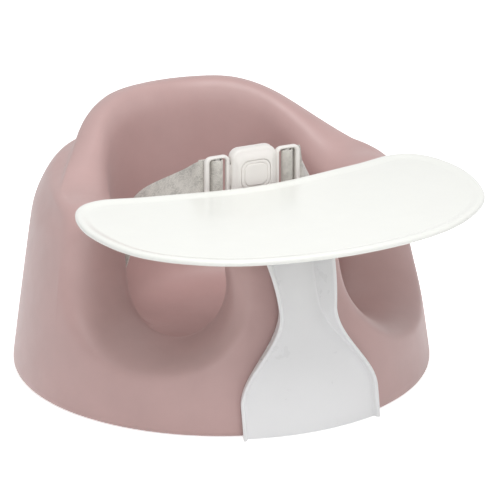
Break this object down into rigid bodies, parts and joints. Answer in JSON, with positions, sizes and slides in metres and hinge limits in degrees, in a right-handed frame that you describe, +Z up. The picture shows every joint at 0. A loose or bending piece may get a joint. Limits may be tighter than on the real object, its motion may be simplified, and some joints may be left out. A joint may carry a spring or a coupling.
{
  "type": "baby floor seat",
  "caption": "Round moulded foam floor seat for a baby, with leg openings, a three-point webbing belt with a centre buckle, and a removable play tray on a channel-shaped stem.",
  "frame": {"origin": "on the floor, at the middle of the round base", "axes": "+Z up, -Y the way the seated child faces, +X the child's left hand side as seen by someone in front of the seat on their right"},
  "size_m": [0.3784, 0.4514, 0.2302],
  "materials": {
    "foam": "satin",
    "webbing": "matte",
    "buckle": "satin",
    "spring": "satin",
    "tray": "gloss",
    "stem": "satin"
  },
  "bodies": {
    "seat": {"seat_foam": "foam", "left_hip_strap": "webbing", "right_hip_strap": "webbing", "crotch_strap": "webbing", "left_strap_anchor": "buckle", "right_strap_anchor": "buckle", "crotch_strap_anchor": "buckle", "buckle_front_cover": "buckle", "buckle_back_cover": "buckle", "button_spring": "spring"},
    "tray": {"tray_top": "tray", "tray_stem": "stem"},
    "button": {"release_button": "buckle"},
    "left_tongue": {"left_tongue": "buckle"},
    "right_tongue": {"right_tongue": "buckle"}
  },
  "joints": [
    {"name": "tray_pull_off", "type": "slide", "parent": "seat", "child": "tray", "axis": [0, -1, 0], "range_m": [0, 0.14]},
    {"name": "button_press", "type": "slide", "parent": "seat", "child": "button", "axis": [0, 1, 0], "range_m": [0, 0.0025], "stiffness_N_per_m": 3800, "springref_m": -0.001, "deforming": ["button_spring"]},
    {"name": "left_tongue_pull", "type": "slide", "parent": "seat", "child": "left_tongue", "axis": [-1, 0, 0], "range_m": [0, 0.024], "deforming": ["left_hip_strap"]},
    {"name": "right_tongue_pull", "type": "slide", "parent": "seat", "child": "right_tongue", "axis": [1, 0, 0], "range_m": [0, 0.024], "deforming": ["right_hip_strap"]}
  ]
}
